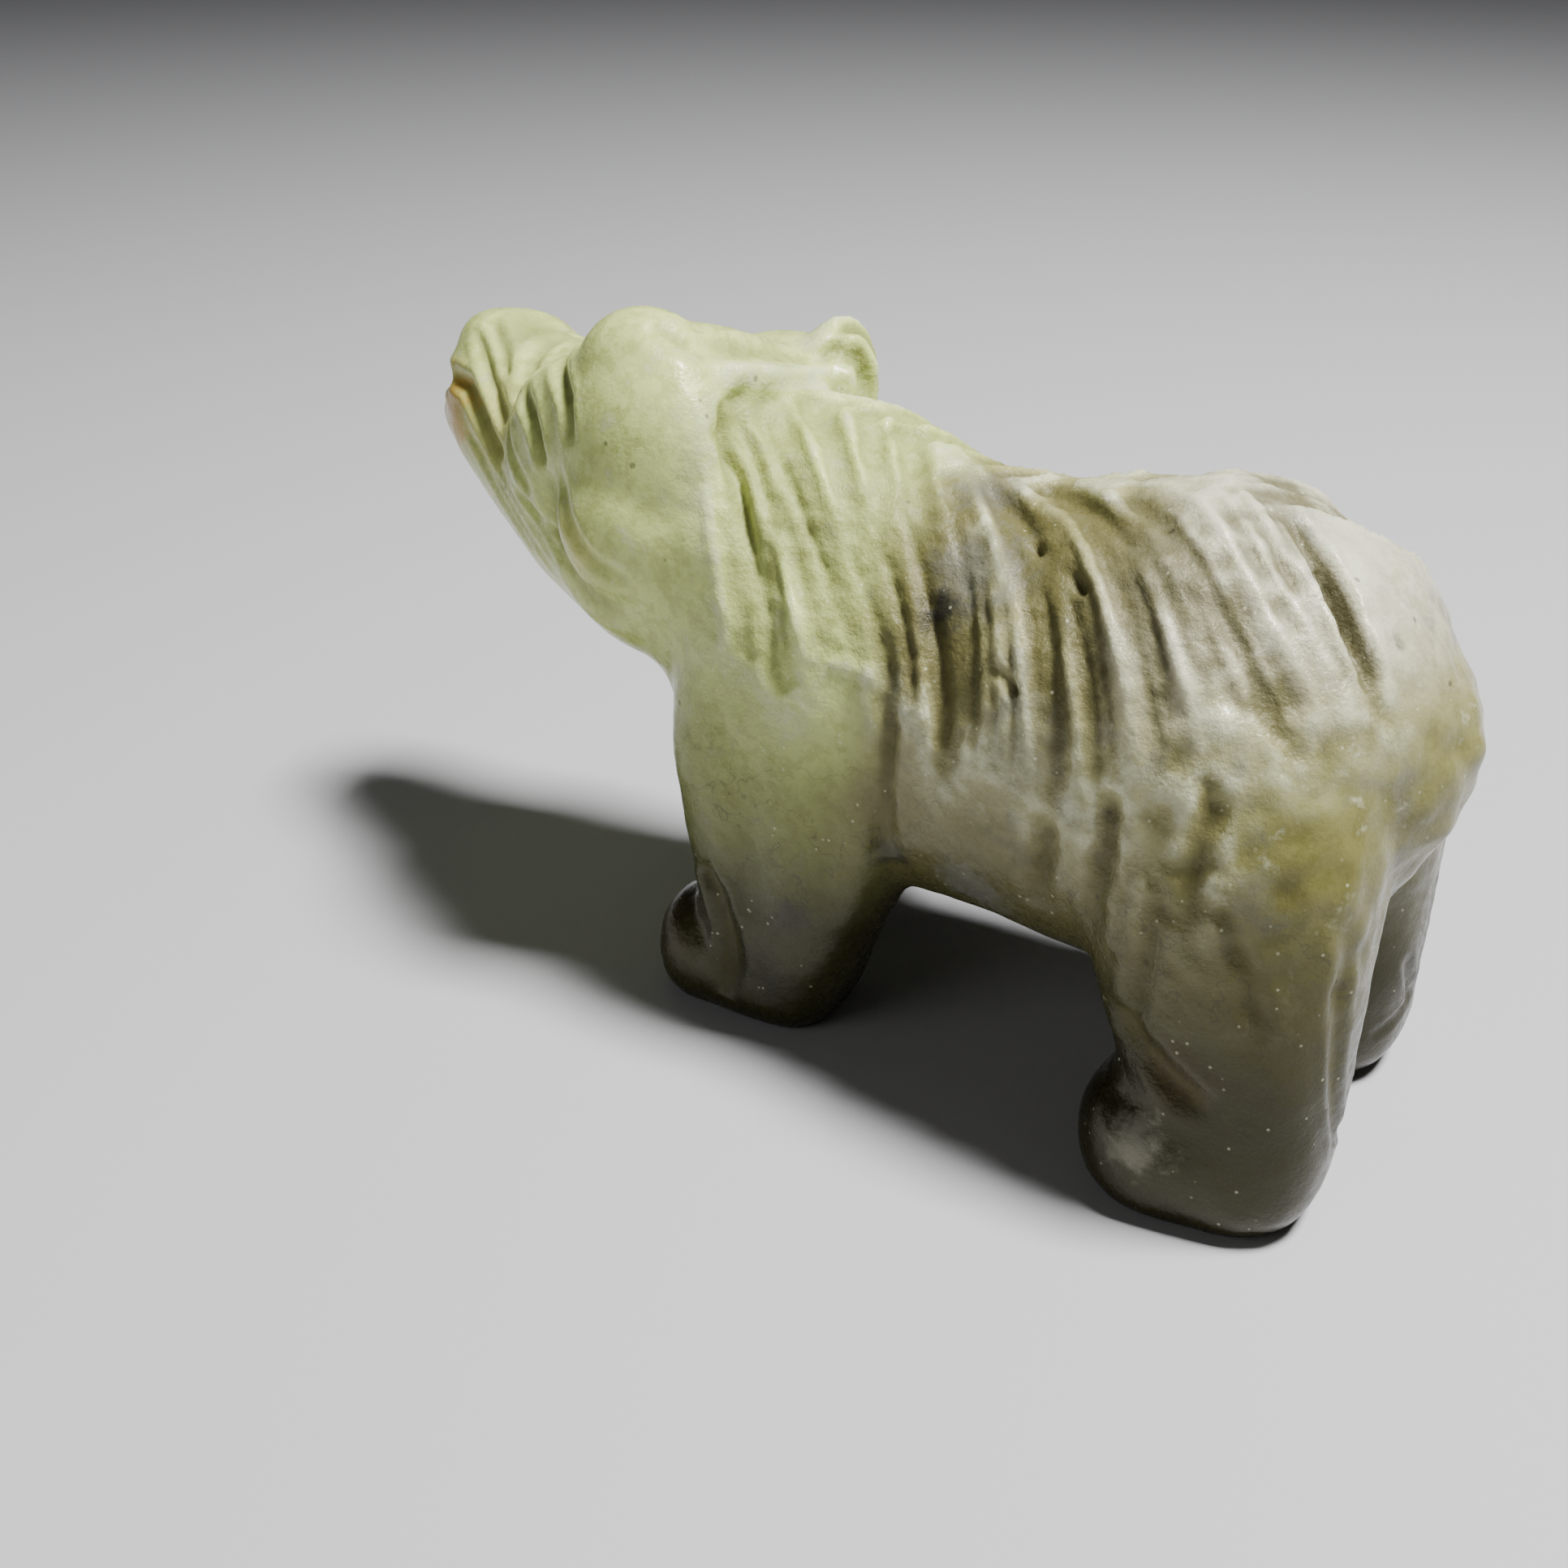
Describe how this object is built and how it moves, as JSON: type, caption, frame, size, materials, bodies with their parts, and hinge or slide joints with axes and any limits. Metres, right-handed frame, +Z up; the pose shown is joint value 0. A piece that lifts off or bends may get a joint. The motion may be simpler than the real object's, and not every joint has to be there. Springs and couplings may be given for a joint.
{
  "type": "polar bear figurine",
  "caption": "Carved labradorite bear standing with its head raised and turned, fur grooves sweeping down its neck and flanks",
  "frame": {"origin": "on the ground, under the middle of the bear's box", "axes": "the bear faces -Y with its left side towards +X, and +Z is up"},
  "size_m": [0.0208, 0.0518, 0.0318],
  "materials": {
    "labradorite": "semi-polished, glossy on the high places, with wheel cuts and small pits left in"
  },
  "bodies": {
    "root": {"bear": "labradorite"}
  },
  "joints": []
}
